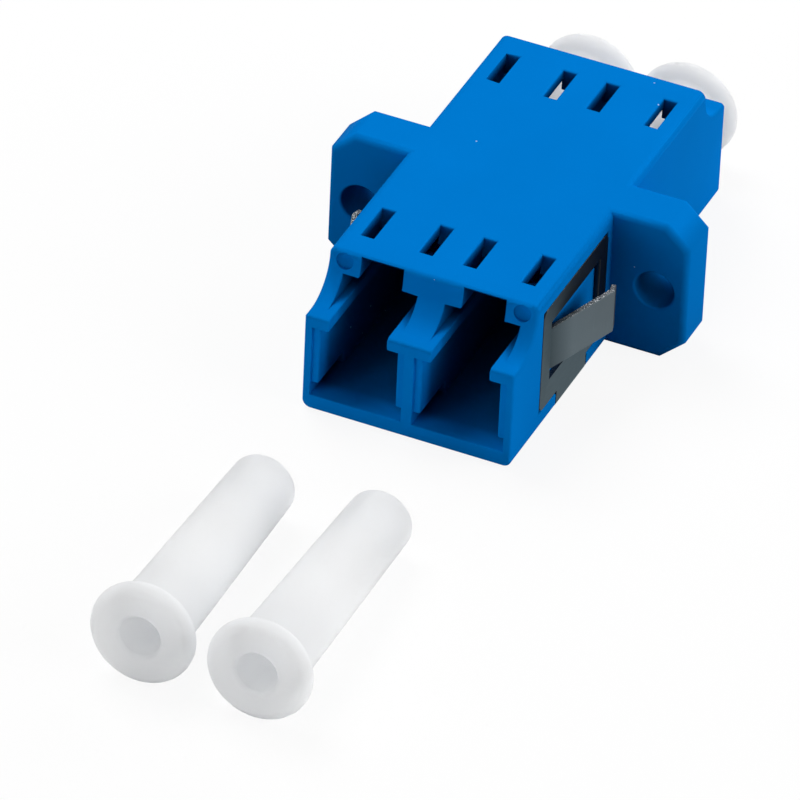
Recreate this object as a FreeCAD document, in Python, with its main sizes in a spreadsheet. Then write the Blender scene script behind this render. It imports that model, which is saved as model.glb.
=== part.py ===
import FreeCAD, Part
import math
import os
import types

import Sketcher

# Duplex fibre adapter: flanged housing, two floating sleeves, spring clip and four dust plugs.
# X runs across the two ports, Y from the front ports to the rear ports, Z up, all in millimetres.
# The origin lies on the bottom face, under the middle of the flange.

SIZES = {
    # Housing, stacked up from the bottom and out from the middle
    "floor_thickness": 1.0,
    "port_height": 4.6,
    "ledge_thickness": 0.8,
    "shoulder_height": 1.25,
    "latch_height": 0.75,
    "roof_thickness": 0.7,
    "side_wall": 0.925,
    "port_pitch": 6.25,
    "port_width": 4.7,
    "top_length": 23.8,
    "end_length": 3.1,
    "end_hollow_radius": 2.3,
    "long_edge_round": 0.5,
    "end_edge_chamfer": 0.18,
    # Flange
    "flange_width": 22.2,
    "flange_thickness": 3.1,
    "flange_chamfer_x": 1.45,
    "flange_chamfer_z": 1.35,
    "flange_edge_round": 0.4,
    "screw_inset": 2.0,
    "screw_hole": 2.3,
    "screw_hole_chamfer": 0.18,
    # Ports
    "ledge_overhang": 0.59,
    "shoulder_width": 4.56,
    "latch_width": 2.6,
    "roof_lead_in": 0.7,
    "roof_edge": 0.08,
    "mouth_depth": 0.2,
    "relief_step": 0.44,
    "relief_height": 0.75,
    "relief_depth": 3.7,
    "window_setback": 1.85,
    "window_length": 2.9,
    "window_width": 0.8,
    "pin_mark": 1.05,
    "pin_mark_drop": 0.68,
    "pin_mark_depth": 0.06,
    # Sleeves and their barrels
    "web_thickness": 1.2,
    "sleeve_bore": 1.25,
    "sleeve_wall": 0.185,
    "sleeve_length": 6.8,
    "sleeve_slit": 0.25,
    "sleeve_play": 0.06,
    "sleeve_end_play": 0.05,
    "barrel_wall": 0.43,
    "barrel_lip": 0.55,
    "ferrule_hole": 1.45,
    "collar_step": 0.25,
    "collar_thickness": 0.6,
    "collar_play": 0.02,
    # Spring clip
    "clip_thickness": 0.3,
    "clip_play": 0.05,
    "clip_edge_play": 0.1,
    "clip_length": 8.8,
    "clip_flange_gap": 0.6,
    "clip_top_drop": 1.1,
    "clip_foot_height": 1.25,
    "clip_bend_radius": 0.1,
    "clip_corner_round": 0.35,
    "clip_front_strip": 1.1,
    "clip_rear_strip": 0.95,
    "clip_top_strip": 1.2,
    "clip_foot_strip": 1.6,
    "bridge_width": 4.1,
    "leaf_slit_low": 0.7,
    "leaf_slit_high": 0.43,
    "leaf_length": 5.2,
    "leaf_angle": 19.0,
    "leaf_tip_length": 0.6,
    "leaf_tip_angle": 14.0,
    # Dust plugs
    "plug_head_out": 3.15,
    "plug_head_gap": 0.13,
    "plug_head_thickness": 1.25,
    "plug_play": 0.15,
    "plug_taper": 0.6,
    "plug_tip_gap": 0.25,
    "plug_tip_chamfer": 0.38,
    "plug_barrel_play": 0.08,
    "plug_bore_relief": 0.35,
    "plug_grip_hole": 2.4,
    "plug_grip_depth": 5.0,
    # Loose front plugs
    "loose_distance": 9.6,
    "loose_gap": 0.84,
    "loose_offset": -0.2,
    "loose_turn_left": 1.65,
    "loose_turn_right": 1.16,
    # Reach of a cut past the face that it opens
    "cut_reach": 1.0,
}

doc = FreeCAD.newDocument("DuplexFibreAdapter")


class Size:
    """A length with the number that it has now and the sheet expression that gives it."""

    def __init__(self, value, text):
        self.value = value
        self.text = text

    def _with(self, other, sign, value):
        return Size(value, f"({self.text} {sign} {as_size(other).text})")

    def __add__(self, other):
        return self._with(other, "+", self.value + as_size(other).value)

    def __sub__(self, other):
        return self._with(other, "-", self.value - as_size(other).value)

    def __mul__(self, other):
        return self._with(other, "*", self.value * as_size(other).value)

    def __truediv__(self, other):
        return self._with(other, "/", self.value / as_size(other).value)

    def __neg__(self):
        return Size(-self.value, f"(0 - {self.text})")


def as_size(number):
    """A plain number as a Size."""
    return number if isinstance(number, Size) else Size(float(number), str(number))


def smaller(first, second):
    return Size(min(first.value, second.value), f"min({first.text}; {second.text})")


def sine(angle):
    return Size(math.sin(math.radians(angle.value)), f"sin({angle.text})")


def cosine(angle):
    return Size(math.cos(math.radians(angle.value)), f"cos({angle.text})")


def tangent(angle):
    return Size(math.tan(math.radians(angle.value)), f"tan({angle.text})")


def make_sheet():
    """Write the driving sizes to the sheet and return them as Size objects."""
    sheet = doc.addObject("Spreadsheet::Sheet", "Sizes")
    for row, (alias, value) in enumerate(SIZES.items(), start=1):
        sheet.set(f"A{row}", alias)
        sheet.set(f"B{row}", str(value))
        sheet.setAlias(f"B{row}", alias)
    doc.recompute()
    return types.SimpleNamespace(
        **{alias: Size(value, f"Sizes.{alias}") for alias, value in SIZES.items()}
    )


dim = make_sheet()

# Heights above the bottom face
port_top = dim.floor_thickness + dim.port_height
ledge_top = port_top + dim.ledge_thickness
shoulder_top = ledge_top + dim.shoulder_height
roof_under = shoulder_top + dim.latch_height
body_height = roof_under + dim.roof_thickness
port_axis = dim.floor_thickness + dim.port_height / 2

# Distances from the middle planes
port_x = dim.port_pitch / 2
half_width = (dim.port_pitch + dim.port_width) / 2 + dim.side_wall
half_top = dim.top_length / 2
half_length = half_top + dim.end_length
half_flange = dim.flange_thickness / 2
half_web = dim.web_thickness / 2
screw_x = dim.flange_width / 2 - dim.screw_inset

# Half widths of the port section, from its own middle
half_port = dim.port_width / 2
half_relief = half_port + dim.relief_step
half_neck = half_port - dim.ledge_overhang
half_shoulder = dim.shoulder_width / 2
half_latch = dim.latch_width / 2

# Barrels that hold the floating sleeves
sleeve_radius = dim.sleeve_bore / 2 + dim.sleeve_wall
seat_radius = sleeve_radius + dim.sleeve_play
seat_end = dim.sleeve_length / 2 + dim.sleeve_end_play
barrel_radius = seat_radius + dim.barrel_wall
barrel_end = seat_end + dim.barrel_lip
collar_radius = barrel_radius + dim.collar_step

# Clip plate and the recess that it lies in
recess_depth = dim.clip_thickness + dim.clip_play
clip_rear = -(half_flange + dim.clip_flange_gap)
clip_front = clip_rear - dim.clip_length
clip_middle = (clip_front + clip_rear) / 2
clip_top = body_height - dim.clip_top_drop

# Dust plug, from its head face towards its tip
plug_length = dim.plug_head_out + half_length - half_web - dim.plug_tip_gap
plug_head_radius = (dim.port_pitch - dim.plug_head_gap) / 2
plug_neck_radius = (smaller(dim.port_width, dim.port_height) - dim.plug_play) / 2
plug_tip_radius = plug_neck_radius - dim.plug_taper / 2
plug_rim = dim.plug_head_thickness / 2


def origin_plane(body, role):
    for feature in body.Origin.OriginFeatures:
        if feature.Role == role:
            return feature
    raise ValueError(f"{body.Label} has no {role}")


def new_body(name):
    body = doc.addObject("PartDesign::Body", name)
    body.Label = name
    return body


def new_sketch(body, name, role, offset=None):
    """Sketch on one of the body's own planes, moved along the plane's normal."""
    sketch = body.newObject("Sketcher::SketchObject", name)
    sketch.AttachmentSupport = [(origin_plane(body, role), "")]
    sketch.MapMode = "FlatFace"
    if offset is not None:
        sketch.setExpression("AttachmentOffset.Base.z", offset.text)
    return sketch


def bind(sketch, constraint, size):
    """Add a dimension to a sketch and tie it to its sheet expression."""
    index = sketch.addConstraint(constraint)
    sketch.setExpression(f"Constraints[{index}]", size.text)


def pin_point(sketch, geometry, point, x, y):
    """Hold a sketch point at two sizes; a plain zero puts it on the axis."""
    axes = (("DistanceX", -2, x), ("DistanceY", -1, y))
    for kind, axis, place in axes:
        size = as_size(place)
        if size.value == 0:
            sketch.addConstraint(Sketcher.Constraint("PointOnObject", geometry, point, axis))
        else:
            bind(sketch, Sketcher.Constraint(kind, -1, 1, geometry, point, size.value), size)


def sketch_vector(x, y):
    return FreeCAD.Vector(as_size(x).value, as_size(y).value, 0)


def polygon(sketch, points):
    """Closed outline through points that are each held by two sizes."""
    first = sketch.GeometryCount
    count = len(points)
    for index, start in enumerate(points):
        end = points[(index + 1) % count]
        sketch.addGeometry(Part.LineSegment(sketch_vector(*start), sketch_vector(*end)), False)
    for index in range(count):
        following = first + (index + 1) % count
        sketch.addConstraint(Sketcher.Constraint("Coincident", first + index, 2, following, 1))
    for index, (x, y) in enumerate(points):
        pin_point(sketch, first + index, 1, x, y)


def rectangle(sketch, left, right, low, high):
    polygon(sketch, [(left, low), (right, low), (right, high), (left, high)])


def circle(sketch, x, y, radius):
    ring = Part.Circle(sketch_vector(x, y), FreeCAD.Vector(0, 0, 1), radius.value)
    index = sketch.addGeometry(ring, False)
    pin_point(sketch, index, 3, x, y)
    bind(sketch, Sketcher.Constraint("Radius", index, radius.value), radius)


def pad(body, name, sketch, length, symmetric=False, backwards=False):
    feature = body.newObject("PartDesign::Pad", name)
    feature.Profile = sketch
    feature.SideType = "Symmetric" if symmetric else "One side"
    feature.Reversed = backwards
    feature.setExpression("Length", length.text)
    sketch.Visibility = False
    doc.recompute()
    return feature


def pocket(body, name, sketch, length, symmetric=False, along_normal=False):
    """Cut that runs against the sketch's normal, or along it; it has to take material away."""
    before = body.Shape.Volume
    feature = body.newObject("PartDesign::Pocket", name)
    feature.Profile = sketch
    feature.SideType = "Symmetric" if symmetric else "One side"
    feature.Reversed = along_normal
    feature.setExpression("Length", length.text)
    doc.recompute()
    if body.Shape.Volume >= before:
        raise RuntimeError(f"{name} cuts nothing from {body.Label}")
    return feature


def mirrored(body, name, features, role):
    """Repeat features on the far side of one of the body's own planes."""
    feature = body.newObject("PartDesign::Mirrored", name)
    feature.Originals = features
    feature.MirrorPlane = (origin_plane(body, role), [""])
    body.Tip = feature
    doc.recompute()
    return feature


def edges_where(feature, wanted):
    """Names of the feature's edges that a test on their end points accepts."""
    names = []
    for number, edge in enumerate(feature.Shape.Edges, start=1):
        if wanted(edge, [vertex.Point for vertex in edge.Vertexes]):
            names.append(f"Edge{number}")
    if not names:
        raise RuntimeError(f"{feature.Name} has no such edge")
    return names


def dress(body, kind, name, base, wanted, prop, size):
    """Fillet or chamfer on the edges of a feature that a test accepts."""
    feature = body.newObject(f"PartDesign::{kind}", name)
    feature.Base = (base, edges_where(base, wanted))
    feature.setExpression(prop, size.text)
    doc.recompute()
    return feature


def same(first, second):
    return abs(first - second) < 1e-4


def is_ring(edge, points, radius):
    """A closed round edge has one end point and the length of its circle."""
    return len(points) == 1 and same(edge.Length, 2 * math.pi * radius.value)


def housing_blank(body):
    """Flange with rounded rims, and the body bar through it with rounded long edges."""
    half = dim.flange_width / 2
    inner = half - dim.flange_chamfer_x
    high = body_height - dim.flange_chamfer_z
    sketch = new_sketch(body, "flange_outline", "XZ_Plane")
    polygon(sketch, [
        (-inner, 0), (inner, 0), (half, dim.flange_chamfer_z), (half, high),
        (inner, body_height), (-inner, body_height), (-half, high), (-half, dim.flange_chamfer_z),
    ])
    flange = pad(body, "flange", sketch, dim.flange_thickness, symmetric=True)

    def on_rim(edge, points):
        return same(points[0].y, points[1].y)

    dress(body, "Fillet", "flange_rims", flange, on_rim, "Radius", dim.flange_edge_round)

    sketch = new_sketch(body, "bar_section", "XZ_Plane")
    rounded_rectangle(sketch, -half_width, half_width, as_size(0), body_height, dim.long_edge_round)
    return pad(body, "bar", sketch, half_length * 2, symmetric=True)


def rounded_rectangle(sketch, left, right, low, high, radius):
    """Closed outline with four round corners."""
    sides = [
        ((left + radius, low), (right - radius, low)),
        ((right, low + radius), (right, high - radius)),
        ((right - radius, high), (left + radius, high)),
        ((left, high - radius), (left, low + radius)),
    ]
    centres = [
        (right - radius, low + radius),
        (right - radius, high - radius),
        (left + radius, high - radius),
        (left + radius, low + radius),
    ]
    lines = []
    for start, end in sides:
        line = Part.LineSegment(sketch_vector(*start), sketch_vector(*end))
        lines.append(sketch.addGeometry(line, False))
    for index, (start, end) in enumerate(sides):
        pin_point(sketch, lines[index], 1, *start)
        pin_point(sketch, lines[index], 2, *end)
    for index, centre in enumerate(centres):
        ring = Part.Circle(sketch_vector(*centre), FreeCAD.Vector(0, 0, 1), radius.value)
        from_angle = math.radians(90 * index - 90)
        arc = sketch.addGeometry(Part.ArcOfCircle(ring, from_angle, from_angle + math.pi / 2), False)
        following = lines[(index + 1) % 4]
        sketch.addConstraint(Sketcher.Constraint("Coincident", lines[index], 2, arc, 1))
        sketch.addConstraint(Sketcher.Constraint("Coincident", arc, 2, following, 1))
        bind(sketch, Sketcher.Constraint("Radius", arc, radius.value), radius)


def housing_ends(body):
    """Cut the upper half back at both ends, down to the ledges, along a hollow curve."""
    reach = dim.cut_reach
    sketch = new_sketch(body, "end_profile", "YZ_Plane")
    for side in (-1, 1):
        polygon(sketch, [
            ((half_length + reach) * side, ledge_top),
            (half_top * side, ledge_top),
            (half_top * side, body_height + reach),
            ((half_length + reach) * side, body_height + reach),
        ])
    cut = pocket(body, "end_cut", sketch, half_width * 4, symmetric=True)

    def in_corner(edge, points):
        return all(same(p.z, ledge_top.value) and same(abs(p.y), half_top.value) for p in points)

    hollow = dress(body, "Fillet", "end_hollow", cut, in_corner, "Radius", dim.end_hollow_radius)

    def on_end(edge, points):
        if len(points) < 2 or any(abs(p.y) < half_top.value - 1e-4 for p in points):
            return False
        across = same(points[0].y, points[1].y) and same(points[0].z, points[1].z)
        on_rim = same(abs(points[0].y), half_length.value) or same(points[0].z, body_height.value)
        return on_rim or not across

    dress(body, "Chamfer", "end_edges", hollow, on_end, "Size", dim.end_edge_chamfer)


def port_outline(sketch, middle):
    """Section of one port: plug bore, latch neck, shoulder slot and latch slot above it."""
    steps = [
        (half_port, dim.floor_thickness),
        (half_port, port_top),
        (half_neck, port_top),
        (half_neck, ledge_top),
        (half_shoulder, ledge_top),
        (half_shoulder, shoulder_top),
        (half_latch, shoulder_top),
        (half_latch, roof_under),
    ]
    right = [(middle + width, height) for width, height in steps]
    left = [(middle - width, height) for width, height in reversed(steps)]
    polygon(sketch, right + left)


def housing_ports(body):
    """Both front ports, and the same ports mirrored to the rear."""
    depth = half_length - half_web
    middles = (-port_x, port_x)
    cuts = []

    sketch = new_sketch(body, "port_section", "XZ_Plane", half_web)
    for middle in middles:
        port_outline(sketch, middle)
    cuts.append(pocket(body, "ports", sketch, depth + dim.cut_reach, along_normal=True))

    sketch = new_sketch(body, "mouth_outline", "XZ_Plane", half_length - dim.mouth_depth)
    for middle in middles:
        rectangle(sketch, middle - half_relief, middle + half_relief, dim.floor_thickness, port_top)
    cuts.append(pocket(body, "mouths", sketch, dim.mouth_depth + dim.cut_reach, along_normal=True))

    sketch = new_sketch(body, "relief_outline", "XZ_Plane", half_length - dim.relief_depth)
    relief_top = dim.floor_thickness + dim.relief_height
    for middle in middles:
        rectangle(sketch, middle - half_relief, middle + half_relief, dim.floor_thickness, relief_top)
    cuts.append(pocket(body, "reliefs", sketch, dim.relief_depth + dim.cut_reach, along_normal=True))

    window_end = -(half_top - dim.window_setback)
    window_start = window_end + dim.window_length
    sketch = new_sketch(body, "latch_pocket_outline", "XY_Plane", shoulder_top)
    for middle in middles:
        rectangle(sketch, middle - half_shoulder, middle + half_shoulder, window_end, window_start)
    cuts.append(pocket(body, "latch_pockets", sketch, dim.latch_height, along_normal=True))

    sketch = new_sketch(body, "window_outline", "XY_Plane", roof_under)
    window_middle = (half_latch + half_shoulder) / 2
    for middle in middles:
        for place in (middle - window_middle, middle + window_middle):
            rectangle(sketch, place - dim.window_width / 2, place + dim.window_width / 2,
                      window_end, window_start)
    cuts.append(pocket(body, "windows", sketch, dim.roof_thickness + dim.cut_reach, along_normal=True))

    for name, middle in (("left", -port_x), ("right", port_x)):
        sketch = new_sketch(body, f"lead_in_profile_{name}", "YZ_Plane", middle)
        polygon(sketch, [
            (-(half_top + dim.cut_reach), roof_under),
            (-(half_top - dim.roof_lead_in), roof_under),
            (-half_top, body_height - dim.roof_edge),
            (-(half_top + dim.cut_reach), body_height - dim.roof_edge),
        ])
        cuts.append(pocket(body, f"lead_in_{name}", sketch, dim.latch_width, symmetric=True))

    mirrored(body, "rear_ports", cuts, "XZ_Plane")

    sketch = new_sketch(body, "pin_mark_outline", "XZ_Plane", half_top - dim.pin_mark_depth)
    mark_x = (port_x + half_latch + half_width) / 2
    for place in (-mark_x, mark_x):
        circle(sketch, place, body_height - dim.pin_mark_drop, dim.pin_mark / 2)
    pocket(body, "pin_marks", sketch, dim.end_length, along_normal=True)


def housing_barrels(body):
    """Rear barrels on the web, with the seats of the sleeves and of the holders' collars."""
    places = (-port_x, port_x)

    def rounds(name, offset, radius):
        sketch = new_sketch(body, name, "XZ_Plane", offset)
        for place in places:
            circle(sketch, place, port_axis, radius)
        return sketch

    sketch = rounds("barrel_outline", -half_web, barrel_radius)
    pad(body, "barrels", sketch, barrel_end - half_web, backwards=True)
    sketch = rounds("seat_outline", half_web, seat_radius)
    pocket(body, "sleeve_seats", sketch, half_web + seat_end)
    sketch = rounds("ferrule_outline", -seat_end, dim.ferrule_hole / 2)
    pocket(body, "ferrule_holes", sketch, dim.barrel_lip + dim.cut_reach)
    sketch = rounds("collar_outline", half_web, collar_radius + dim.collar_play)
    pocket(body, "collar_seats", sketch, dim.collar_thickness)


def housing_clip_recess(body):
    """Shallow recess round three sides that takes the spring clip flush."""
    gap = dim.clip_edge_play
    half_bridge = dim.bridge_width / 2 + gap
    foot = dim.clip_foot_height - gap
    sketch = new_sketch(body, "clip_recess_outline", "YZ_Plane", half_width - recess_depth)
    polygon(sketch, [
        (clip_front - gap, clip_top + gap),
        (clip_front - gap, foot),
        (clip_middle - half_bridge, foot),
        (clip_middle - half_bridge, -dim.cut_reach),
        (clip_middle + half_bridge, -dim.cut_reach),
        (clip_middle + half_bridge, foot),
        (clip_rear + gap, foot),
        (clip_rear + gap, clip_top + gap),
    ])
    side = pocket(body, "clip_recess", sketch, recess_depth + dim.cut_reach, along_normal=True)
    mirrored(body, "clip_recess_left", [side], "YZ_Plane")

    sketch = new_sketch(body, "clip_channel_outline", "XY_Plane", dim.clip_play + recess_depth)
    wide = half_width + dim.cut_reach
    rectangle(sketch, -wide, wide, clip_middle - half_bridge, clip_middle + half_bridge)
    pocket(body, "clip_channel", sketch, dim.clip_play + recess_depth + dim.cut_reach)


def housing_screw_holes(body):
    """Two through holes in the flange with a small chamfer on each rim."""
    sketch = new_sketch(body, "screw_hole_outline", "XZ_Plane")
    for place in (-screw_x, screw_x):
        circle(sketch, place, body_height / 2, dim.screw_hole / 2)
    holes = pocket(body, "screw_holes", sketch, dim.flange_thickness + dim.cut_reach, symmetric=True)

    def on_rim(edge, points):
        return is_ring(edge, points, dim.screw_hole / 2)

    dress(body, "Chamfer", "screw_hole_rims", holes, on_rim, "Size", dim.screw_hole_chamfer)


def make_housing():
    body = new_body("housing")
    housing_blank(body)
    housing_ends(body)
    housing_ports(body)
    housing_barrels(body)
    housing_clip_recess(body)
    housing_screw_holes(body)
    return body


def make_sleeve_holder(name, middle):
    """Front barrel with a collar that is pressed into the web; turned about the port's axis."""
    body = new_body(name)
    sketch = new_sketch(body, f"{name}_profile", "XY_Plane")
    collar_back = -(half_web - dim.collar_thickness)
    hole = dim.ferrule_hole / 2
    polygon(sketch, [
        (seat_radius, collar_back),
        (collar_radius, collar_back),
        (collar_radius, -half_web),
        (barrel_radius, -half_web),
        (barrel_radius, -barrel_end),
        (hole, -barrel_end),
        (hole, -seat_end),
        (seat_radius, -seat_end),
    ])
    revolve(body, f"{name}_turn", sketch)
    place_on_axis(body, middle)
    return body


def revolve(body, name, sketch):
    """Full turn of a sketch about its vertical axis."""
    feature = body.newObject("PartDesign::Revolution", name)
    feature.Profile = sketch
    feature.ReferenceAxis = (sketch, ["V_Axis"])
    feature.Angle = 360
    doc.recompute()
    return feature


def place_on_axis(item, middle):
    """Move a piece that is modelled about the Y axis to a port's own axis."""
    item.setExpression("Placement.Base.x", middle.text)
    item.setExpression("Placement.Base.z", port_axis.text)


def cylinder_on_axis(name, radius, length, start):
    """Cylinder along Y, from a start on that axis."""
    item = doc.addObject("Part::Cylinder", name)
    item.setExpression("Radius", radius.text)
    item.setExpression("Height", length.text)
    item.Placement = FreeCAD.Placement(FreeCAD.Vector(), FreeCAD.Rotation(FreeCAD.Vector(1, 0, 0), -90))
    item.setExpression("Placement.Base.y", start.text)
    return item


def make_alignment_sleeve(name, middle):
    """Ceramic tube with one slit along its top, free between the two barrels."""
    start = -dim.sleeve_length / 2
    outer = cylinder_on_axis(f"{name}_outer", sleeve_radius, dim.sleeve_length, start)
    inner = cylinder_on_axis(f"{name}_inner", dim.sleeve_bore / 2, dim.sleeve_length, start)
    tube = doc.addObject("Part::Cut", f"{name}_tube")
    tube.Base = outer
    tube.Tool = inner
    slit = doc.addObject("Part::Box", f"{name}_slit")
    slit.setExpression("Length", dim.sleeve_slit.text)
    slit.setExpression("Width", dim.sleeve_length.text)
    slit.setExpression("Height", (sleeve_radius * 2).text)
    slit.setExpression("Placement.Base.x", (-dim.sleeve_slit / 2).text)
    slit.setExpression("Placement.Base.y", start.text)
    sleeve = doc.addObject("Part::Cut", name)
    sleeve.Label = name
    sleeve.Base = tube
    sleeve.Tool = slit
    place_on_axis(sleeve, middle)
    return sleeve


def clip_plate(body):
    """Right side plate, a frame round the window that the leaf is lanced from."""
    window_low = dim.clip_foot_height + dim.clip_foot_strip
    window_high = clip_top - dim.clip_top_strip
    sketch = new_sketch(body, "plate_outline", "YZ_Plane", half_width - dim.clip_thickness)
    rounded_rectangle(sketch, clip_front, clip_rear, dim.clip_foot_height, clip_top, dim.clip_corner_round)
    rectangle(sketch, clip_front + dim.clip_front_strip, clip_rear - dim.clip_rear_strip,
              window_low, window_high)
    return pad(body, "plate", sketch, dim.clip_thickness)


def clip_leaf(body):
    """Spring leaf, bent out of the window towards the flange, with its tip bent back."""
    root = clip_front + dim.clip_front_strip
    bend = dim.leaf_angle
    turn = dim.leaf_angle + dim.leaf_tip_angle
    outside = half_width
    inside = half_width - dim.clip_thickness
    out_x = outside + sine(bend) * dim.leaf_length
    out_y = root + cosine(bend) * dim.leaf_length
    tip_x = out_x - sine(dim.leaf_tip_angle) * dim.leaf_tip_length
    tip_y = out_y + cosine(dim.leaf_tip_angle) * dim.leaf_tip_length
    root_shift = dim.clip_thickness * tangent(bend / 2)
    knee = dim.clip_thickness / cosine(turn / 2)
    knee_angle = (dim.leaf_tip_angle - bend) / 2
    leaf_low = dim.clip_foot_height + dim.clip_foot_strip + dim.leaf_slit_low
    leaf_high = clip_top - dim.clip_top_strip - dim.leaf_slit_high
    sketch = new_sketch(body, "leaf_profile", "XY_Plane", leaf_low)
    polygon(sketch, [
        (inside, root - dim.clip_front_strip / 2),
        (outside, root - dim.clip_front_strip / 2),
        (outside, root),
        (out_x, out_y),
        (tip_x, tip_y),
        (tip_x - cosine(dim.leaf_tip_angle) * dim.clip_thickness,
         tip_y - sine(dim.leaf_tip_angle) * dim.clip_thickness),
        (out_x - cosine(knee_angle) * knee, out_y - sine(knee_angle) * knee),
        (inside, root + root_shift),
    ])
    return pad(body, "leaf", sketch, leaf_high - leaf_low)


def clip_bridge(body):
    """Band under the housing that joins the two side plates round two bends."""
    inner = dim.clip_bend_radius
    outer = inner + dim.clip_thickness
    low = dim.clip_play
    foot = dim.clip_foot_height
    sketch = new_sketch(body, "bridge_section", "XZ_Plane", -clip_middle)
    inside = half_width - dim.clip_thickness
    polygon(sketch, [
        (-half_width, foot), (-half_width, low), (half_width, low), (half_width, foot),
        (inside, foot), (inside, low + dim.clip_thickness),
        (-inside, low + dim.clip_thickness), (-inside, foot),
    ])
    bridge = pad(body, "bridge", sketch, dim.bridge_width, symmetric=True)

    def corner(x, z):
        def wanted(edge, points):
            along = same(points[0].x, points[1].x)
            return along and all(same(p.z, z.value) and same(abs(p.x), x.value) for p in points)
        return wanted

    inner_corner = corner(inside, low + dim.clip_thickness)
    bent = dress(body, "Fillet", "inner_bends", bridge, inner_corner, "Radius", inner)
    return dress(body, "Fillet", "outer_bends", bent, corner(half_width, low), "Radius", outer)


def make_mounting_clip():
    body = new_body("mounting_clip")
    clip_bridge(body)
    sides = [clip_plate(body), clip_leaf(body)]
    mirrored(body, "left_side", sides, "YZ_Plane")
    return body


def make_dust_plug(name):
    """Turned plug along Y: head face on the origin, tip towards minus Y, rim rounded by a few cones."""
    body = new_body(name)
    sketch = new_sketch(body, f"{name}_profile", "XY_Plane")
    head = dim.plug_head_thickness
    tip = dim.plug_tip_chamfer
    rim_inside = plug_head_radius - plug_rim
    rim_shoulder = plug_rim * cosine(as_size(45))
    bore = barrel_radius + dim.plug_barrel_play
    bore_end = plug_length - (barrel_end - half_web - dim.plug_tip_gap) - dim.plug_bore_relief
    grip = dim.plug_grip_hole / 2
    polygon(sketch, [
        (0, -dim.plug_grip_depth),
        (grip, -dim.plug_grip_depth),
        (grip, 0),
        (rim_inside, 0),
        (rim_inside + rim_shoulder, rim_shoulder - plug_rim),
        (plug_head_radius, -plug_rim),
        (rim_inside, -head),
        (plug_neck_radius, -head),
        (plug_tip_radius, tip - plug_length),
        (plug_tip_radius - tip, -plug_length),
        (bore, -plug_length),
        (bore, -bore_end),
        (0, -bore_end),
    ])
    revolve(body, f"{name}_turn", sketch)
    return body


def make_rear_plug(name, middle):
    """Plug pushed home in a rear port, its tip over the barrel."""
    plug = make_dust_plug(name)
    plug.setExpression("Placement.Base.y", (half_length + dim.plug_head_out).text)
    place_on_axis(plug, middle)
    return plug


def make_loose_plug(name, side, turn):
    """Plug pulled out of a front port, lying on its head rim and its tip with the tip to the rear."""
    plug = make_dust_plug(name)
    along = (plug_length - dim.plug_tip_chamfer - plug_rim).value
    tilt = math.atan2((plug_head_radius - plug_tip_radius).value, along)
    height = plug_head_radius.value * math.cos(tilt) + plug_rim.value * math.sin(tilt)
    spacing = (plug_head_radius * 2 + dim.loose_gap).value
    head = FreeCAD.Vector(side * spacing / 2 + dim.loose_offset.value,
                          -(half_length + dim.loose_distance + plug_length).value, height)
    lying = FreeCAD.Rotation(FreeCAD.Vector(0, 0, 1), 180 + turn.value)
    lowered = FreeCAD.Rotation(FreeCAD.Vector(1, 0, 0), math.degrees(tilt))
    plug.Placement = FreeCAD.Placement(head, lying.multiply(lowered))
    return plug


def check_document():
    """Stop if any object failed to compute."""
    for item in doc.Objects:
        if "Invalid" in item.State or "Error" in item.State:
            raise RuntimeError(f"{item.Name} did not compute: {item.State}")


def main():
    nodes = [make_housing(), make_mounting_clip()]
    for side, middle in (("left", -port_x), ("right", port_x)):
        nodes.append(make_sleeve_holder(f"sleeve_holder_{side}", middle))
        nodes.append(make_alignment_sleeve(f"alignment_sleeve_{side}", middle))
        nodes.append(make_rear_plug(f"rear_dust_plug_{side}", middle))
    nodes.append(make_loose_plug("front_dust_plug_left", -1, dim.loose_turn_left))
    nodes.append(make_loose_plug("front_dust_plug_right", 1, dim.loose_turn_right))
    doc.recompute()
    check_document()
    for node in nodes:
        if node.Shape.isNull() or not node.Shape.isValid() or len(node.Shape.Solids) != 1:
            raise RuntimeError(f"{node.Label} is not one valid solid")
    os.makedirs("parts", exist_ok=True)
    for node in nodes:
        node.Shape.exportStep(os.path.join("parts", f"{node.Label}.step"))


main()
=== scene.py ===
import math

import bmesh
import bpy
from mathutils import Matrix, Vector
from mathutils.geometry import intersect_point_line


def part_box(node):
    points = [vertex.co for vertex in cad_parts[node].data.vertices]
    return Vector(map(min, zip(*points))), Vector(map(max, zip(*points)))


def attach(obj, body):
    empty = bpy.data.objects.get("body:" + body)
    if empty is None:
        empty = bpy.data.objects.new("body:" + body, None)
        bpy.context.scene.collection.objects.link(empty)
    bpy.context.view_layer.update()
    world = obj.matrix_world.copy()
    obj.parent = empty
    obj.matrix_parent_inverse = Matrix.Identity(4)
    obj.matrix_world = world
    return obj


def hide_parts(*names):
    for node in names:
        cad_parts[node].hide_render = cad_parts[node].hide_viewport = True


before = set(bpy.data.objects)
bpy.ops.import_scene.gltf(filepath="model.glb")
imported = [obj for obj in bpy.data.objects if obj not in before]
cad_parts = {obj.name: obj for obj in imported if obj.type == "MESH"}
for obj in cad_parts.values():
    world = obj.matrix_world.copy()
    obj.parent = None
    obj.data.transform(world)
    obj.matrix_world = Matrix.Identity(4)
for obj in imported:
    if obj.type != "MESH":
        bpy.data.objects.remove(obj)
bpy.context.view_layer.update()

bl_info = {
    "name": "Duplex fibre adapter",
    "version": (1, 0, 0),
    "blender": (4, 5, 0),
    "location": "View3D > Sidebar > Adapter",
    "description": "Dresses a duplex fibre adapter, its clip, its sleeves and its dust plugs",
    "category": "Object",
}

# Pieces are shaped in millimetres and brought to metres at the end
MM = 1000.0
# In millimetres: points of a node's mesh nearer than this are one corner
SAME_CORNER = 0.002
# In millimetres: points nearer than this are left over from a rounding or a turn
LEFT_OVER = 0.0005
# In degrees: faces that turn less than this are one flat face
FLAT = 0.5

plug_low, plug_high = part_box("rear_dust_plug_left")


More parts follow.
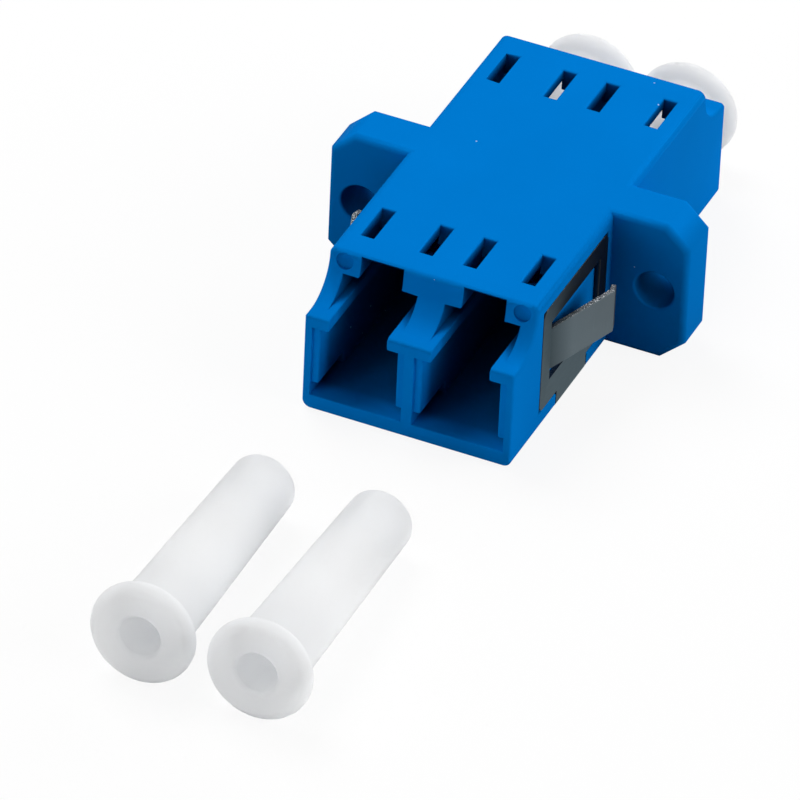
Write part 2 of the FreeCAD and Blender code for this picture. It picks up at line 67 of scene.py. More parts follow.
class AdapterShape(bpy.types.PropertyGroup):
    """Sizes of the roundings and of the dust plug."""

    housing_edge: bpy.props.FloatProperty(
        name="Housing edge", description="Rounding of the moulded edges of the housing",
        default=0.00013, min=0, unit="LENGTH")
    clip_edge: bpy.props.FloatProperty(
        name="Clip edge", description="Rounding of the stamped edges of the clip",
        default=0.00004, min=0, unit="LENGTH")
    sleeve_edge: bpy.props.FloatProperty(
        name="Sleeve edge", description="Rounding of the edges of the sleeves and their holders",
        default=0.00006, min=0, unit="LENGTH")
    plug_head: bpy.props.FloatProperty(
        name="Plug head", description="Radius of the head of a dust plug",
        default=(plug_high.x - plug_low.x) / 2, unit="LENGTH")
    plug_length: bpy.props.FloatProperty(
        name="Plug length", description="Length of a dust plug from its head to its tip",
        default=plug_high.y - plug_low.y, unit="LENGTH")
    plug_head_thickness: bpy.props.FloatProperty(
        name="Head thickness", description="Thickness of the head of a dust plug",
        default=0.00125, unit="LENGTH")
    plug_neck: bpy.props.FloatProperty(
        name="Plug neck", description="Radius of the shank just behind the head",
        default=0.002225, unit="LENGTH")
    plug_tip: bpy.props.FloatProperty(
        name="Plug tip", description="Radius of the shank at its tip",
        default=0.001918, unit="LENGTH")
    plug_bore: bpy.props.FloatProperty(
        name="Tip bore", description="Radius of the bore that goes over a barrel",
        default=0.00138, unit="LENGTH")
    plug_bore_depth: bpy.props.FloatProperty(
        name="Tip bore depth", description="Depth of that bore",
        default=0.0035, unit="LENGTH")
    plug_grip: bpy.props.FloatProperty(
        name="Grip hole", description="Radius of the blind hole in the head",
        default=0.0012, unit="LENGTH")
    plug_grip_depth: bpy.props.FloatProperty(
        name="Grip hole depth", description="Depth of the blind hole in the head",
        default=0.005, unit="LENGTH")


class AdapterFinish(bpy.types.PropertyGroup):
    """Colours of the finishes."""

    blue: bpy.props.FloatVectorProperty(
        name="Housing blue", description="Colour of the moulded housing",
        default=(0.0, 0.195, 0.64), subtype="COLOR", min=0, max=1)
    # The clip's colour is painted dark: a painted reflection of dark surroundings
    steel: bpy.props.FloatVectorProperty(
        name="Clip steel", description="Colour of the stamped clip",
        default=(0.048, 0.057, 0.062), subtype="COLOR", min=0, max=1)
    white: bpy.props.FloatVectorProperty(
        name="Plug white", description="Colour of the dust plugs",
        default=(0.965, 0.98, 1.0), subtype="COLOR", min=0, max=1)
    ceramic: bpy.props.FloatVectorProperty(
        name="Sleeve ceramic", description="Colour of the alignment sleeves",
        default=(0.86, 0.85, 0.81), subtype="COLOR", min=0, max=1)


class AdapterStage(bpy.types.PropertyGroup):
    """Camera, lamps and floor."""

    lens: bpy.props.FloatProperty(
        name="Lens", description="Focal length of the camera on a 36 mm sensor, in millimetres",
        default=462.684, unit="CAMERA")
    camera_place: bpy.props.FloatVectorProperty(
        name="Camera place", description="Where the camera stands",
        default=(0.178400, -0.440435, 0.341881), subtype="TRANSLATION", unit="LENGTH")
    camera_forward: bpy.props.FloatVectorProperty(
        name="Camera direction", description="Direction that the camera looks in",
        default=(-0.312119, 0.742679, -0.592461), subtype="DIRECTION")
    camera_up: bpy.props.FloatVectorProperty(
        name="Camera up", description="Direction that points up in the picture",
        default=(-0.272782, 0.527299, 0.804702), subtype="DIRECTION")
    lamp_size: bpy.props.FloatProperty(
        name="Lamp size", description="Side of each square lamp", default=0.3, unit="LENGTH")
    ambient: bpy.props.FloatProperty(
        name="Ambient light", description="Light that comes from all around", default=0.01, min=0)
    shadow: bpy.props.FloatProperty(
        name="Floor shadow", description="How much of the shadow shows on the white floor",
        default=0.1, min=0, max=1, subtype="FACTOR")
    floor_bounce: bpy.props.FloatProperty(
        name="Floor bounce",
        description="Share of the light that the floor throws back outside its white patches",
        default=0.2, min=0, max=1, subtype="FACTOR")


class Wire:
    """A node's output that takes part in arithmetic."""

    def __init__(self, finish, socket):
        self.finish = finish
        self.socket = socket

    def also(self, output):
        """Another output of the same node."""
        return Wire(self.finish, self.socket.node.outputs[output])

    def _math(self, operation, first, second):
        return self.finish.node("ShaderNodeMath", {"operation": operation}, {0: first, 1: second})

    def __add__(self, other):
        return self._math("ADD", self, other)

    def __radd__(self, other):
        return self._math("ADD", other, self)

    def __mul__(self, other):
        return self._math("MULTIPLY", self, other)

    def __rmul__(self, other):
        return self._math("MULTIPLY", other, self)

    def __lt__(self, other):
        return self._math("LESS_THAN", self, other)

    def __gt__(self, other):
        return self._math("GREATER_THAN", self, other)


# Places of the sockets of a Mix node that blends colours
MIX_FACTOR = 0
MIX_FIRST = 6
MIX_SECOND = 7
MIX_RESULT = 2


class Finish:
    """The node tree of one finish, built from the surface coordinates to its shader."""

    def __init__(self, owner):
        owner.use_nodes = True
        self.owner = owner
        self.tree = owner.node_tree
        self.tree.nodes.clear()

    def node(self, kind, settings=None, sockets=None, output=0):
        """Adds a node: first its settings, then the values or links of its sockets."""
        made = self.tree.nodes.new(kind)
        for key, value in (settings or {}).items():
            if key == "stops":
                for stop, (place, tone) in zip(made.color_ramp.elements, value):
                    stop.position = place
                    stop.color = (tone, tone, tone, 1)
            else:
                setattr(made, key, value)
        for key, value in (sockets or {}).items():
            if isinstance(value, Wire):
                self.tree.links.new(value.socket, made.inputs[key])
            else:
                made.inputs[key].default_value = value
        return Wire(self, made.outputs[output]) if len(made.outputs) else None

    def place(self, stretch=(1, 1, 1)):
        """Surface coordinates of the piece, scaled along each axis."""
        coordinates = self.node("ShaderNodeTexCoord", output="Object")
        return self.node("ShaderNodeMapping", None, {"Vector": coordinates, "Scale": stretch})

    def noise(self, vector, scale, detail):
        """Soft clouds that run from 0 to 1."""
        return self.node("ShaderNodeTexNoise", None,
                         {"Vector": vector, "Scale": scale, "Detail": detail, "Roughness": 0.55})

    def red(self, colour):
        """Red part of a colour."""
        return self.node("ShaderNodeSeparateColor", None, {"Color": colour}, "Red")

    def hollow(self, reach):
        """0 far inside the recesses of the piece, 1 on its open faces: the measure for painted
        shade.
        """
        return self.node("ShaderNodeAmbientOcclusion", {"samples": 8, "only_local": True},
                         {"Distance": reach}, "AO")

    def off_middle(self, axis):
        """Distance along one axis from the middle of the frame."""
        along = self.node("ShaderNodeSeparateXYZ", None, {"Vector": self.place()}, axis)
        return self.node("ShaderNodeMath", {"operation": "ABSOLUTE"}, {0: along})

    def ramp(self, value, low, high):
        """0 up to low, 1 from high on."""
        return self.node("ShaderNodeValToRGB", {"stops": ((low, 0), (high, 1))}, {"Fac": value})

    def rise(self, distance, start, end, span):
        """0 up to the distance start and 1 from end on; the span is longer than both."""
        return self.ramp(distance * (1 / span), start / span, end / span)

    def blend(self, factor, first, second):
        """First colour at 0, second colour at 1."""
        return self.node("ShaderNodeMix", {"data_type": "RGBA"},
                         {MIX_FACTOR: factor, MIX_FIRST: first, MIX_SECOND: second}, MIX_RESULT)

    def bump(self, height, depth, strength):
        """Surface normal over a height that runs from 0 to 1 and stands for a depth in metres."""
        return self.node("ShaderNodeBump", None,
                         {"Height": height, "Distance": depth, "Strength": strength})

    def surface(self, **sockets):
        """Principled shader to the output; a socket's name is written with underscores."""
        named = {key.replace("_", " "): value for key, value in sockets.items()}
        self.output(self.node("ShaderNodeBsdfPrincipled", None, named))
        return self.owner

    def output(self, shader, kind="ShaderNodeOutputMaterial"):
        """Joins a shader to the output of the tree."""
        self.node(kind, None, {"Surface": shader})


WHITE = (1, 1, 1)
# Colour of the pale specks on the housing, partly dust and partly painted glints
DUST_AND_GLINT = (0.75, 0.85, 0.95)
DIRT = (0.4, 0.4, 0.4)
# Colour of the painted glints on the clip's torn edge
PAINTED_GLINT = (0.9, 0.92, 0.93)
STEEL_SHEEN = (0.7, 0.83, 0.9)


def rgba(colour, level=1.0):
    """A colour at a share of its brightness, as a colour socket takes it."""
    return (*[channel * level for channel in colour], 1.0)


def new_finish(name):
    return Finish(bpy.data.materials.new(name))


def specks(finish, vector, cells, size, share):
    """Sparse round dots: one in some of the cells."""
    cell = finish.node("ShaderNodeTexVoronoi", None, {"Vector": vector, "Scale": cells}, "Distance")
    return (cell < size) * (finish.red(cell.also("Color")) < share)


def moulded_blue(look):
    """Blue moulded plastic with faint flow clouds, a few pale specks that are partly dust and
    partly painted glints, and painted shade in its recesses.
    """
    finish = new_finish("moulded_blue")
    place = finish.place()
    cloud = finish.noise(place, scale=170, detail=3)
    grain = finish.noise(place, scale=5200, detail=3)
    # Pale specks: partly dust, partly painted glints
    dust = specks(finish, place, cells=900, size=0.05, share=0.2)
    # The blue's own tone, varying with the flow clouds
    shade = finish.blend(cloud, rgba(look.blue, 0.94), rgba(look.blue, 1.06))
    # At both ends of the housing the walls of the ports get no painted shade
    mouth = finish.rise(finish.off_middle("Y"), start=0.0134, end=0.0147, span=0.02)
    # Painted shade: the blue is painted darker far inside the recesses
    hollow = finish.ramp(finish.hollow(reach=0.01), low=0.15, high=0.7) + mouth
    blue_with_painted_shade = finish.blend(hollow, rgba(look.blue, 0.3), shade)
    colour = finish.blend(dust * 0.5, blue_with_painted_shade, rgba(DUST_AND_GLINT))
    return finish.surface(
        Base_Color=colour, Roughness=0.36 + cloud * 0.06 + grain * 0.06, Specular_IOR_Level=0.0004,
        Normal=finish.bump(grain, depth=0.000012, strength=0.35))


def painted_reflection_mask(finish):
    """0 on the clip's plates, 1 on the leaves, which stand out sideways and get the lighter painted
    reflection.
    """
    return finish.rise(finish.off_middle("X"), start=0.0064, end=0.007, span=0.01)


def stamped_steel(look):
    """Spring steel with fine drawn lines, painted dark as a painted reflection and painted lighter
    where the leaf stands out.
    """
    finish = new_finish("stamped_steel")
    drawn = finish.noise(finish.place(stretch=(1, 0.08, 1)), scale=16000, detail=3)
    cloud = finish.noise(finish.place(), scale=700, detail=3)
    lines = finish.noise(finish.place(stretch=(1, 0.5, 0.04)), scale=15000, detail=1)
    scored = finish.ramp(lines, low=0.68, high=0.76)
    worn = cloud * 0.6 + drawn * 0.4
    # Painted reflection: the plates are painted darker, the leaves lighter
    plate = finish.blend(worn, rgba(look.steel, 0.5), rgba(look.steel, 0.9))
    leaf = finish.blend(worn, rgba(look.steel, 1.8), rgba(look.steel, 2.5))
    tone = finish.blend(painted_reflection_mask(finish), plate, leaf)
    colour = finish.blend(scored * 0.12, tone, rgba(look.steel, 4.0))
    return finish.surface(
        Base_Color=colour, Metallic=1.0, Specular_Tint=rgba(STEEL_SHEEN),
        Roughness=0.3 + drawn * 0.14 + cloud * 0.06,
        Normal=finish.bump(drawn * 0.7 + scored * 0.3, depth=0.000006, strength=0.4))


def sheared_steel(look):
    """The torn edge that the punch leaves, with bright grains that are painted glints."""
    finish = new_finish("sheared_steel")
    grain = finish.noise(finish.place(), scale=14000, detail=2)
    # Painted glints, stronger on the leaves; the rest of the edge is painted dark as painted
    # reflection
    bright = finish.ramp(grain, low=0.54, high=0.64) * (0.15 + painted_reflection_mask(finish) * 0.5)
    colour = finish.blend(bright, rgba(look.steel, 0.9), rgba(PAINTED_GLINT))
    return finish.surface(
        Base_Color=colour, Metallic=1.0, Roughness=0.35 + grain * 0.15,
        Normal=finish.bump(grain, depth=0.00002, strength=0.5))


def plug_white(look, name, level, clear):
    """White polyethylene that lets some light through, with scuffs and specks."""
    finish = new_finish(name)
    place = finish.place()
    cloud = finish.noise(place, scale=260, detail=3)
    rubs = finish.noise(finish.place(stretch=(1, 0.25, 1)), scale=900, detail=4)
    scuff = finish.ramp(rubs, low=0.68, high=0.78)
    dirt = specks(finish, place, cells=420, size=0.03, share=0.1)
    tone = finish.blend(cloud, rgba(look.white, 0.975 * level), rgba(look.white, level))
    colour = finish.blend(dirt * 0.5 + scuff * 0.05, tone, rgba(DIRT))
    return finish.surface(
        Base_Color=colour, Roughness=0.42 + cloud * 0.1, Specular_IOR_Level=0.5,
        Subsurface_Weight=1.0, Subsurface_Radius=(1, 1, 1), Subsurface_Scale=0.004,
        Transmission_Weight=clear, IOR=1.06,
        Normal=finish.bump(cloud, depth=0.00002, strength=0.25))


def sleeve_ceramic(look):
    """Polished ivory ceramic."""
    finish = new_finish("sleeve_ceramic")
    cloud = finish.noise(finish.place(), scale=700, detail=2)
    tone = finish.blend(cloud, rgba(look.ceramic, 0.96), rgba(look.ceramic))
    return finish.surface(Base_Color=tone, Roughness=0.16 + cloud * 0.06)


def activate(piece):
    """Makes a piece the only selected object."""
    bpy.ops.object.select_all(action="DESELECT")
    piece.select_set(True)
    bpy.context.view_layer.objects.active = piece


def edit(piece):
    """Opens a piece in edit mode with all of it selected."""
    activate(piece)
    bpy.ops.object.mode_set(mode="EDIT")
    bpy.ops.mesh.select_all(action="SELECT")


def close():
    bpy.ops.object.mode_set(mode="OBJECT")


def pick(piece, kind, chosen):
    """Opens a piece in edit mode with only the chosen vertices or polygons selected."""
    edit(piece)
    bpy.ops.mesh.select_all(action="DESELECT")
    close()
    found = [part for part in getattr(piece.data, kind) if chosen(part)]
    if not found:
        raise RuntimeError(f"{piece.name} has none of the {kind} that were asked for")
    for part in found:
        part.select = True
    bpy.ops.object.mode_set(mode="EDIT")


def resize(factor):
    bpy.ops.transform.resize(value=(factor,) * 3, center_override=(0, 0, 0))


def copied_node(node, name):
    """New piece from a node's mesh, its triangles joined up into flat faces, in millimetres."""
    piece = bpy.data.objects.new(name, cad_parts[node].data.copy())
    bpy.context.scene.collection.objects.link(piece)
    piece.data.materials.clear()
    edit(piece)
    bpy.ops.mesh.customdata_custom_splitnormals_clear()
    resize(MM)
    bpy.ops.mesh.remove_doubles(threshold=SAME_CORNER)
    bpy.ops.mesh.dissolve_limited(angle_limit=math.radians(FLAT))
    close()
    return piece


# Cosine between two edges at a corner, above which the face between them runs out to a point
POINTED = 0.85
# Cosine below which one edge carries the other straight on
STRAIGHT_ON = -0.8
# Share of the free width that a rounding may take
ROOM_SHARE = 0.3


def to_edge(point, edge):
    """Distance from a point to an edge."""
    start, end = (vert.co for vert in edge.verts)
    part = intersect_point_line(point, start, end)[1]
    return (point - start.lerp(end, min(max(part, 0.0), 1.0))).length


def edge_room(edge):
    """Width free for a rounding on the faces of an edge, none where a face runs out to a point."""
    start, end = (vert.co for vert in edge.verts)
    probes = (start, (start + end) / 2, end)
    room = math.inf
    for other in {each for face in edge.link_faces for each in face.edges} - {edge}:
        if not set(other.verts) & set(edge.verts):
            room = min(room, *(to_edge(probe, other) for probe in probes))
    for vert in edge.verts:
        along = (edge.other_vert(vert).co - vert.co).normalized()
        for other in set(vert.link_edges) - {edge}:
            leaving = other.other_vert(vert).co - vert.co
            lean = leaving.normalized().dot(along)
            if lean > POINTED and set(other.link_faces) & set(edge.link_faces):
                return 0.0
            if lean > STRAIGHT_ON:
                room = min(room, leaving.length)
    return room


def soften_edges(piece, width, sharp=50.0, segments=3):
    """Rounds the sharp outer edges, less where there is little room."""
    model = bmesh.new()
    model.from_mesh(piece.data)
    weight = model.edges.layers.float.new("bevel_weight_edge")
    for edge in model.edges:
        if edge.calc_length() > width and edge.calc_face_angle_signed(0) > math.radians(sharp):
            edge[weight] = min(1.0, ROOM_SHARE * edge_room(edge) / width)
    model.to_mesh(piece.data)
    model.free()
    activate(piece)
    bpy.ops.object.modifier_add(type="BEVEL")
    rounding = piece.modifiers[-1]
    rounding.limit_method = "WEIGHT"
    rounding.width = width
    rounding.segments = segments
    rounding.use_clamp_overlap = False
    rounding.loop_slide = True
    bpy.ops.object.modifier_apply(modifier=rounding.name)
    edit(piece)
    bpy.ops.mesh.remove_doubles(threshold=LEFT_OVER)
    bpy.ops.mesh.dissolve_degenerate(threshold=LEFT_OVER)
    close()


def smooth(piece, angle=50.0):
    """Smooth shading that keeps flat faces flat."""
    activate(piece)
    bpy.ops.object.shade_smooth_by_angle(angle=math.radians(angle))
    bpy.ops.object.modifier_add(type="WEIGHTED_NORMAL")
    flat = piece.modifiers[-1]
    flat.keep_sharp = True
    flat.weight = 60
    bpy.ops.object.modifier_apply(modifier=flat.name)


def to_metres(piece):
    edit(piece)
    resize(1 / MM)
    close()


def dress(piece, finish, body, node):
    """Gives a piece its finish and puts it in place of a node."""
    piece.data.materials.append(finish)
    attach(piece, body)
    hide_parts(node)


def dress_faces(piece, finish, faces):
    """Gives some faces of a dressed piece a second finish."""
    piece.data.materials.append(finish)
    for face in faces:
        face.material_index = len(piece.data.materials) - 1


# In square millimetres: least area of the floor of a pin mark
MARK_AREA = 0.5
# In millimetres: height that such a floor lies above, and the places along Y that it lies between
MARK_HEIGHT = 8.0
MARK_FRONT = -11.9
MARK_BACK = -11.8
# How squarely it faces the front, as a cosine
MARK_FACING = 0.99
# Wall left round each step of a pin mark's dish and the depth of the step, in millimetres
DISH_STEPS = ((0.06, 0.04), (0.1, 0.06), (0.12, 0.05), (0.12, 0.03))


def is_pin_mark(face):
    """Whether a face of the housing is the floor of a pin mark."""
    faces_front = -face.normal.y > MARK_FACING
    in_place = face.center.z > MARK_HEIGHT and MARK_FRONT < face.center.y < MARK_BACK
    return faces_front and in_place and face.area > MARK_AREA


def dish_pin_marks(piece):
    """Hollows out the round marks of the ejector pins above the front ports."""
    pick(piece, "polygons", is_pin_mark)
    for wall, depth in DISH_STEPS:
        bpy.ops.mesh.inset(thickness=wall, depth=0)
        bpy.ops.transform.translate(value=(0, depth, 0))
    close()


class ADAPTER_OT_housing(bpy.types.Operator):
    """Builds the housing with its moulded edges"""

    bl_idname = "adapter.housing"
    bl_label = "Housing"

    def execute(self, context):
        shape = context.scene.adapter_shape
        blue = moulded_blue(context.scene.adapter_finish)
        piece = copied_node("housing", "moulded_housing")
        soften_edges(piece, shape.housing_edge * MM)
        dish_pin_marks(piece)
        to_metres(piece)
        smooth(piece)
        dress(piece, blue, "adapter", "housing")
        return {"FINISHED"}


# In millimetres: how far the outer edges of the clip's plates are moved out
CLIP_GROWTH = 0.08
# In millimetres: corners this near to an end of the clip lie on it
AT_END = 0.01
# How squarely a torn edge looks up, as a cosine, and the height in metres that it lies above
TORN_FACING = 0.9
BRIDGE_TOP = 0.0008


def fill_recess(piece):
    """Moves the outer edges of the clip's plates out until they nearly fill their recess."""
    low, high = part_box("mounting_clip")
    for place, outwards in ((low, (0, -1, 0)), (high, (0, 1, 0)), (high, (0, 0, 1))):
        outwards = Vector(outwards)
        end = place.dot(outwards) * MM
        pick(piece, "vertices", lambda vert: abs(vert.co.dot(outwards) - end) < AT_END)
        bpy.ops.transform.translate(value=outwards * CLIP_GROWTH)
        close()


class ADAPTER_OT_clip(bpy.types.Operator):
    """Builds the spring clip with its stamped edges"""

    bl_idname = "adapter.clip"
    bl_label = "Mounting clip"

    def execute(self, context):
        shape = context.scene.adapter_shape
        look = context.scene.adapter_finish
        piece = copied_node("mounting_clip", "spring_clip")
        fill_recess(piece)
        soften_edges(piece, shape.clip_edge * MM, segments=2)
        to_metres(piece)
        smooth(piece)
        dress(piece, stamped_steel(look), "adapter", "mounting_clip")
        torn = [face for face in piece.data.polygons
                if face.normal.z > TORN_FACING and face.center.z > BRIDGE_TOP]
        dress_faces(piece, sheared_steel(look), torn)
        return {"FINISHED"}


class ADAPTER_OT_sleeves(bpy.types.Operator):
    """Builds the two ceramic sleeves and their holders"""

    bl_idname = "adapter.sleeves"
    bl_label = "Sleeves and holders"

    def execute(self, context):
        edge = context.scene.adapter_shape.sleeve_edge * MM
        blue = bpy.data.materials["moulded_blue"]
        ceramic = sleeve_ceramic(context.scene.adapter_finish)
        for side in ("left", "right"):
            for node, finish, slot in (("sleeve_holder", blue, "housing_plastic"),
                                       ("alignment_sleeve", ceramic, "sleeve_ceramic")):
                piece = copied_node(f"{node}_{side}", f"turned_{node}_{side}")
                soften_edges(piece, edge, segments=2)
                to_metres(piece)
                smooth(piece)
                dress(piece, finish, "adapter", f"{node}_{side}")
        return {"FINISHED"}


# Roundings of the plug's section, in millimetres
GRIP_BOTTOM_ROUNDING = 0.3
GRIP_MOUTH_ROUNDING = 0.26
NECK_ROUNDING = 0.34
TIP_ROUNDING = 0.4
BORE_MOUTH_ROUNDING = 0.08
BORE_BOTTOM_ROUNDING = 0.2
# Share of the head's thickness that each rounding of its rim takes
RIM_SHARE = 0.48
# Steps of each rounding and of the turn about the axis
ROUNDING_STEPS = 7
TURN_STEPS = 80


def plug_section(shape):
    """Corners of half a plug's section in millimetres: radius, distance from the head, rounding."""
    head = shape.plug_head * MM
    length = shape.plug_length * MM
    thick = shape.plug_head_thickness * MM
    grip = shape.plug_grip * MM
    grip_bottom = shape.plug_grip_depth * MM
    bore = shape.plug_bore * MM
    bore_bottom = length - shape.plug_bore_depth * MM
    rim = thick * RIM_SHARE
    return (
        (0, grip_bottom, 0),
        (grip, grip_bottom, GRIP_BOTTOM_ROUNDING),
        (grip, 0, GRIP_MOUTH_ROUNDING),
        (head, 0, rim),
        (head, thick, rim),
        (shape.plug_neck * MM, thick, NECK_ROUNDING),
        (shape.plug_tip * MM, length, TIP_ROUNDING),
        (bore, length, BORE_MOUTH_ROUNDING),
        (bore, bore_bottom, BORE_BOTTOM_ROUNDING),
        (0, bore_bottom, 0),
    )


def turned_plug(shape, name):
    """Dust plug turned about Y, head face on the origin, tip towards minus Y, in millimetres."""
    corners = [(Vector((radius, -along, 0)), rounding)
               for radius, along, rounding in plug_section(shape)]
    start = corners[0][0]
    bpy.ops.mesh.primitive_plane_add(size=1, location=start)
    piece = bpy.context.object
    piece.name = name
    edit(piece)
    bpy.ops.mesh.merge(type="CENTER")
    for corner, _ in corners[1:]:
        bpy.ops.mesh.extrude_vertices_move(TRANSFORM_OT_translate={"value": corner - start})
        start = corner
    close()
    activate(piece)
    bpy.ops.object.transform_apply()
    for corner, rounding in corners:
        if rounding:
            nearest = min(piece.data.vertices, key=lambda vert: (vert.co - corner).length).index
            pick(piece, "vertices", lambda vert: vert.index == nearest)
            bpy.ops.mesh.bevel(offset=rounding, segments=ROUNDING_STEPS, affect="VERTICES",
                               clamp_overlap=False)
            close()
    edit(piece)
    bpy.ops.mesh.spin(steps=TURN_STEPS, angle=math.tau, center=(0, 0, 0), axis=(0, 1, 0))
    bpy.ops.mesh.select_all(action="SELECT")
    bpy.ops.mesh.remove_doubles(threshold=LEFT_OVER)
    bpy.ops.mesh.normals_make_consistent(inside=False)
    close()
    return piece


# In millimetres: how far past the wall and the bottom of the grip hole its finish reaches
GRIP_MARGIN = 0.02
# In millimetres: how far below the head's face that finish starts
GRIP_START = 0.2


def in_grip(shape, point):
    """Whether a point of the plug lies on the wall or the bottom of its blind hole."""
    radius = shape.plug_grip * MM + GRIP_MARGIN
    bottom = shape.plug_grip_depth * MM + GRIP_MARGIN
    return math.hypot(point.x, point.z) < radius and GRIP_START < -point.y < bottom


# Body that carries each plug
PLUG_BODIES = {
    "rear_dust_plug_left": "rear_plug_left",
    "rear_dust_plug_right": "rear_plug_right",
    "front_dust_plug_left": "adapter",
    "front_dust_plug_right": "adapter",
}
# The loose plugs: middle of the head's face in metres, turn past a half turn and tilt in degrees
LOOSE_HEAD = {
    "front_dust_plug_left": (-0.00368, -0.041898, 0.003096),
    "front_dust_plug_right": (0.00328, -0.041898, 0.003096),
}
LOOSE_TURN = {"front_dust_plug_left": 1.65, "front_dust_plug_right": 1.16}
LOOSE_TILT = 3.98
HALF_TURN = 180


def plug_place(node):
    """Where a plug's head face and axis lie."""
    if node in LOOSE_HEAD:
        turn = Matrix.Rotation(math.radians(HALF_TURN + LOOSE_TURN[node]), 4, "Z")
        tilt = Matrix.Rotation(math.radians(LOOSE_TILT), 4, "X")
        return Matrix.Translation(LOOSE_HEAD[node]) @ turn @ tilt
    low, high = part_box(node)
    middle = (low + high) / 2
    return Matrix.Translation((middle.x, high.y, middle.z))


class ADAPTER_OT_plugs(bpy.types.Operator):
    """Builds the four dust plugs: two in the rear ports and two that lie loose in front"""

    bl_idname = "adapter.plugs"
    bl_label = "Dust plugs"

    def execute(self, context):
        shape = context.scene.adapter_shape
        look = context.scene.adapter_finish
        skin = plug_white(look, "plug_white", level=1.0, clear=0.3)
        # Painted shade: the grip hole's finish is a little darker and lets less light through
        hollow = plug_white(look, "plug_hollow", level=0.97, clear=0.2)
        model = turned_plug(shape, "turned_plug")
        grip = [face.index for face in model.data.polygons if in_grip(shape, face.center)]
        for node, body in PLUG_BODIES.items():
            piece = model.copy()
            piece.data = model.data.copy()
            piece.name = node.replace("dust_plug", "turned_plug")
            bpy.context.scene.collection.objects.link(piece)
            to_metres(piece)
            piece.data.transform(plug_place(node))
            smooth(piece, angle=40.0)
            dress(piece, skin, body, node)
            dress_faces(piece, hollow, [piece.data.polygons[index] for index in grip])
        bpy.data.objects.remove(model)
        return {"FINISHED"}


# Direction that each lamp stands in, and its share of full light
LAMPS = (
    ("key_lamp", (-0.484, 0.280, 0.829), 0.71),
    ("back_lamp", (0.1, 0.9, 0.4), 0.26),
    ("high_lamp", (-0.078, -0.554, 0.829), 0.08),
    ("front_lamp", (-0.550, -0.820, 0.156), 0.27),
    ("side_lamp", (0.866, 0.0, 0.5), 0.44),
    ("low_side_lamp", (0.858, 0.495, 0.139), 0.36),
)
# Middles of the two patches of floor that throw all their light back
WHITE_PATCHES = ((0, -0.047, 0), (0, 0.045, 0))
# In metres: side of the floor, and how far it lies below the part
FLOOR_SIDE = 4
FLOOR_DROP = 0.00002
# In millimetres: width of the camera's sensor
SENSOR_WIDTH = 36.0
# In metres: nearest and farthest that the camera sees
NEAREST = 0.01
FARTHEST = 20


def soft_lamp(name, direction, share, size, distance=0.5):
    """Square lamp that lights a face turned to it with a share of full light."""
    place = Vector(direction).normalized() * distance
    aim = (-place).to_track_quat("-Z", "Y").to_euler()
    bpy.ops.object.light_add(type="AREA", location=place, rotation=aim)
    lamp = bpy.context.object
    lamp.name = name
    lamp.data.size = size
    lamp.data.energy = share * math.pi ** 2 * distance ** 2


def seen(finish):
    """1 for rays from the camera and for what mirrors or passes them on, else 0."""
    rays = finish.node("ShaderNodeLightPath", output="Is Camera Ray")
    return (rays + rays.also("Is Glossy Ray") + rays.also("Is Transmission Ray")) > 0.5


def white_floor(stage):
    """Floor that shows white with a faint shadow; only its patches throw all their light back."""
    finish = new_finish("white_floor")
    glow = finish.node("ShaderNodeEmission", None, {"Color": rgba(WHITE), "Strength": 1.0})
    lit = finish.node("ShaderNodeBsdfDiffuse", None, {"Color": rgba(WHITE)})
    place = finish.node("ShaderNodeTexCoord", output="Object")
    away = [finish.node("ShaderNodeVectorMath", {"operation": "DISTANCE"},
                        {0: place, 1: middle}, "Value")
            for middle in WHITE_PATCHES]
    nearest = finish.node("ShaderNodeMath", {"operation": "MINIMUM"}, {0: away[0], 1: away[1]})
    outside = finish.rise(nearest, start=0.022, end=0.042, span=0.1)
    tone = finish.blend(outside, rgba(WHITE), rgba(WHITE, stage.floor_bounce))
    dim = finish.node("ShaderNodeBsdfDiffuse", None, {"Color": tone})
    shown = finish.node("ShaderNodeMixShader", None, {0: 1 - stage.shadow, 1: lit, 2: glow})
    finish.output(finish.node("ShaderNodeMixShader", None, {0: seen(finish), 1: dim, 2: shown}))
    return finish.owner


def white_world(stage):
    """White behind the part, with a weak light all round."""
    world = bpy.data.worlds.new("white_world")
    bpy.context.scene.world = world
    finish = Finish(world)
    level = stage.ambient + seen(finish) * (1 - stage.ambient)
    sky = finish.node("ShaderNodeBackground", None, {"Color": rgba(WHITE), "Strength": level})
    finish.output(sky, "ShaderNodeOutputWorld")


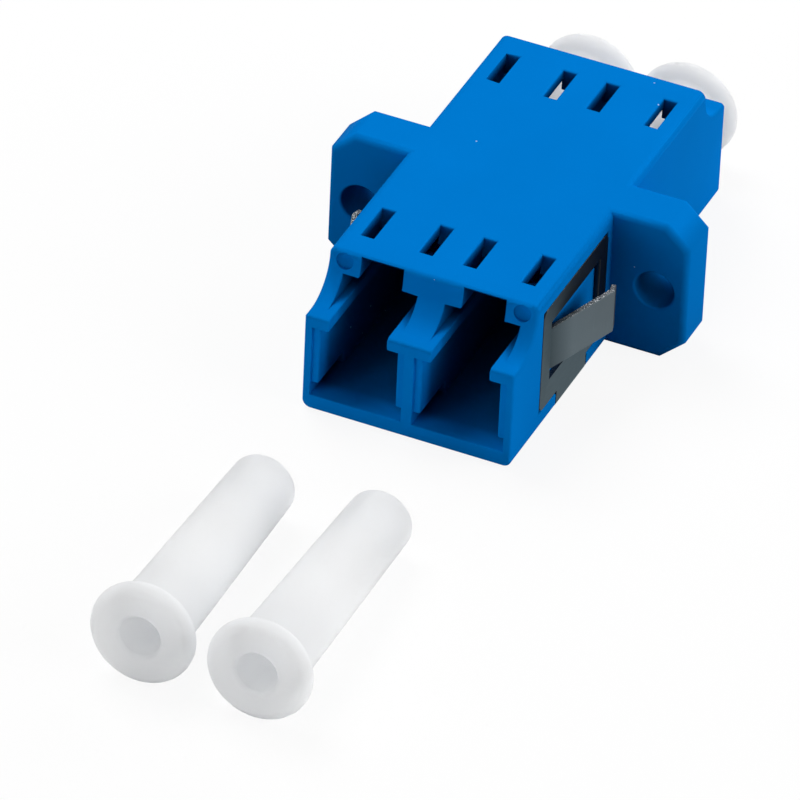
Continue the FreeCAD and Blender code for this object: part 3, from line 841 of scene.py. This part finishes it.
class ADAPTER_OT_stage(bpy.types.Operator):
    """Builds the floor, the lamps and the camera"""

    bl_idname = "adapter.stage"
    bl_label = "Stage"

    def execute(self, context):
        stage = context.scene.adapter_stage
        bpy.ops.mesh.primitive_plane_add(size=FLOOR_SIDE, location=(0, 0, -FLOOR_DROP))
        floor = context.object
        floor.name = "floor"
        bpy.ops.object.transform_apply()
        floor.data.materials.append(white_floor(stage))
        white_world(stage)
        for name, direction, share in LAMPS:
            soft_lamp(name, direction, share, stage.lamp_size)
        forward = Vector(stage.camera_forward)
        up = Vector(stage.camera_up)
        turn = Matrix((forward.cross(up), up, -forward)).transposed()
        bpy.ops.object.camera_add(location=stage.camera_place, rotation=turn.to_euler())
        camera = context.object
        camera.name = "photo_camera"
        camera.data.lens = stage.lens
        camera.data.sensor_width = SENSOR_WIDTH
        camera.data.clip_start = NEAREST
        camera.data.clip_end = FARTHEST
        context.scene.camera = camera
        context.scene.view_settings.view_transform = "Standard"
        return {"FINISHED"}


class ADAPTER_PT_build(bpy.types.Panel):
    """Lists the sizes, the colours and the steps"""

    bl_idname = "ADAPTER_PT_build"
    bl_label = "Duplex fibre adapter"
    bl_space_type = "VIEW_3D"
    bl_region_type = "UI"
    bl_category = "Adapter"

    def draw(self, context):
        for group in SETTINGS:
            settings = getattr(context.scene, group)
            column = self.layout.column(align=True)
            for name in settings.__annotations__:
                column.prop(settings, name)
        for step in OPERATORS:
            self.layout.operator(step.bl_idname)


OPERATORS = (
    ADAPTER_OT_housing,
    ADAPTER_OT_clip,
    ADAPTER_OT_sleeves,
    ADAPTER_OT_plugs,
    ADAPTER_OT_stage,
)
SETTINGS = {
    "adapter_shape": AdapterShape,
    "adapter_finish": AdapterFinish,
    "adapter_stage": AdapterStage,
}
CLASSES = (*SETTINGS.values(), *OPERATORS, ADAPTER_PT_build)


def register():
    for each in CLASSES:
        bpy.utils.register_class(each)
    for name, group in SETTINGS.items():
        setattr(bpy.types.Scene, name, bpy.props.PointerProperty(type=group))


def unregister():
    for name in SETTINGS:
        delattr(bpy.types.Scene, name)
    for each in reversed(CLASSES):
        bpy.utils.unregister_class(each)


def main():
    register()
    bpy.ops.object.select_all(action="DESELECT")
    bpy.ops.adapter.housing()
    bpy.ops.adapter.clip()
    bpy.ops.adapter.sleeves()
    bpy.ops.adapter.plugs()
    bpy.ops.adapter.stage()


if __name__ == "__main__":
    main()
